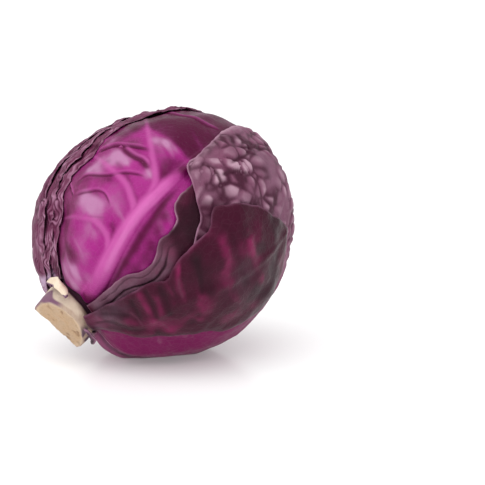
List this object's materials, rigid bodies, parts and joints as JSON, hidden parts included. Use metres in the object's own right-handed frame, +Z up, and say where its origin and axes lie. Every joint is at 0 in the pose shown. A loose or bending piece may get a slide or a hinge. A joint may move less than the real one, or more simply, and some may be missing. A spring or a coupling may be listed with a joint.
{
  "type": "red cabbage",
  "caption": "Round head of red cabbage lying on its side, with overlapping wrapper leaves, a branching pale rib and a cut stump.",
  "frame": {"origin": "centre of the flat spot under the head, where it rests, straight below the head's centre", "axes": "+Z up, -Y towards the viewer of the picture, +X to the viewer's right; the stem points to -X, down and a little to -Y"},
  "size_m": [0.1668, 0.1669, 0.158],
  "materials": {
    "stem_flesh": "dry cut stump, dull",
    "heart_leaves": "tightly packed leaves, waxy",
    "leaf_front_skin": "magenta leaf with a pale rib, satin",
    "leaf_back_skin": "dark purple leaf with a waxy bloom",
    "leaf_under_skin": "red-purple leaf, satin",
    "leaf_left_inner_skin": "crumpled purple leaf with a waxy bloom",
    "leaf_right_inner_skin": "grey-purple leaf with a waxy bloom",
    "leaf_right_top_skin": "blistered mauve leaf with a waxy bloom",
    "leaf_left_middle_skin": "crumpled purple leaf with a waxy bloom",
    "leaf_right_outer_skin": "dark maroon leaf, satin",
    "leaf_left_outer_skin": "purple leaf with a waxy bloom",
    "stub_upper_skin": "cream cut leaf base, damp",
    "stub_lower_skin": "dried dark leaf scrap"
  },
  "bodies": {
    "root": {"stem": "stem_flesh", "heart": "heart_leaves", "leaf_front": "leaf_front_skin", "leaf_back": "leaf_back_skin", "leaf_under": "leaf_under_skin", "leaf_left_inner": "leaf_left_inner_skin", "leaf_right_inner": "leaf_right_inner_skin", "leaf_right_top": "leaf_right_top_skin", "leaf_left_middle": "leaf_left_middle_skin", "leaf_right_outer": "leaf_right_outer_skin", "leaf_left_outer": "leaf_left_outer_skin", "stub_upper": "stub_upper_skin", "stub_lower": "stub_lower_skin"}
  },
  "joints": []
}
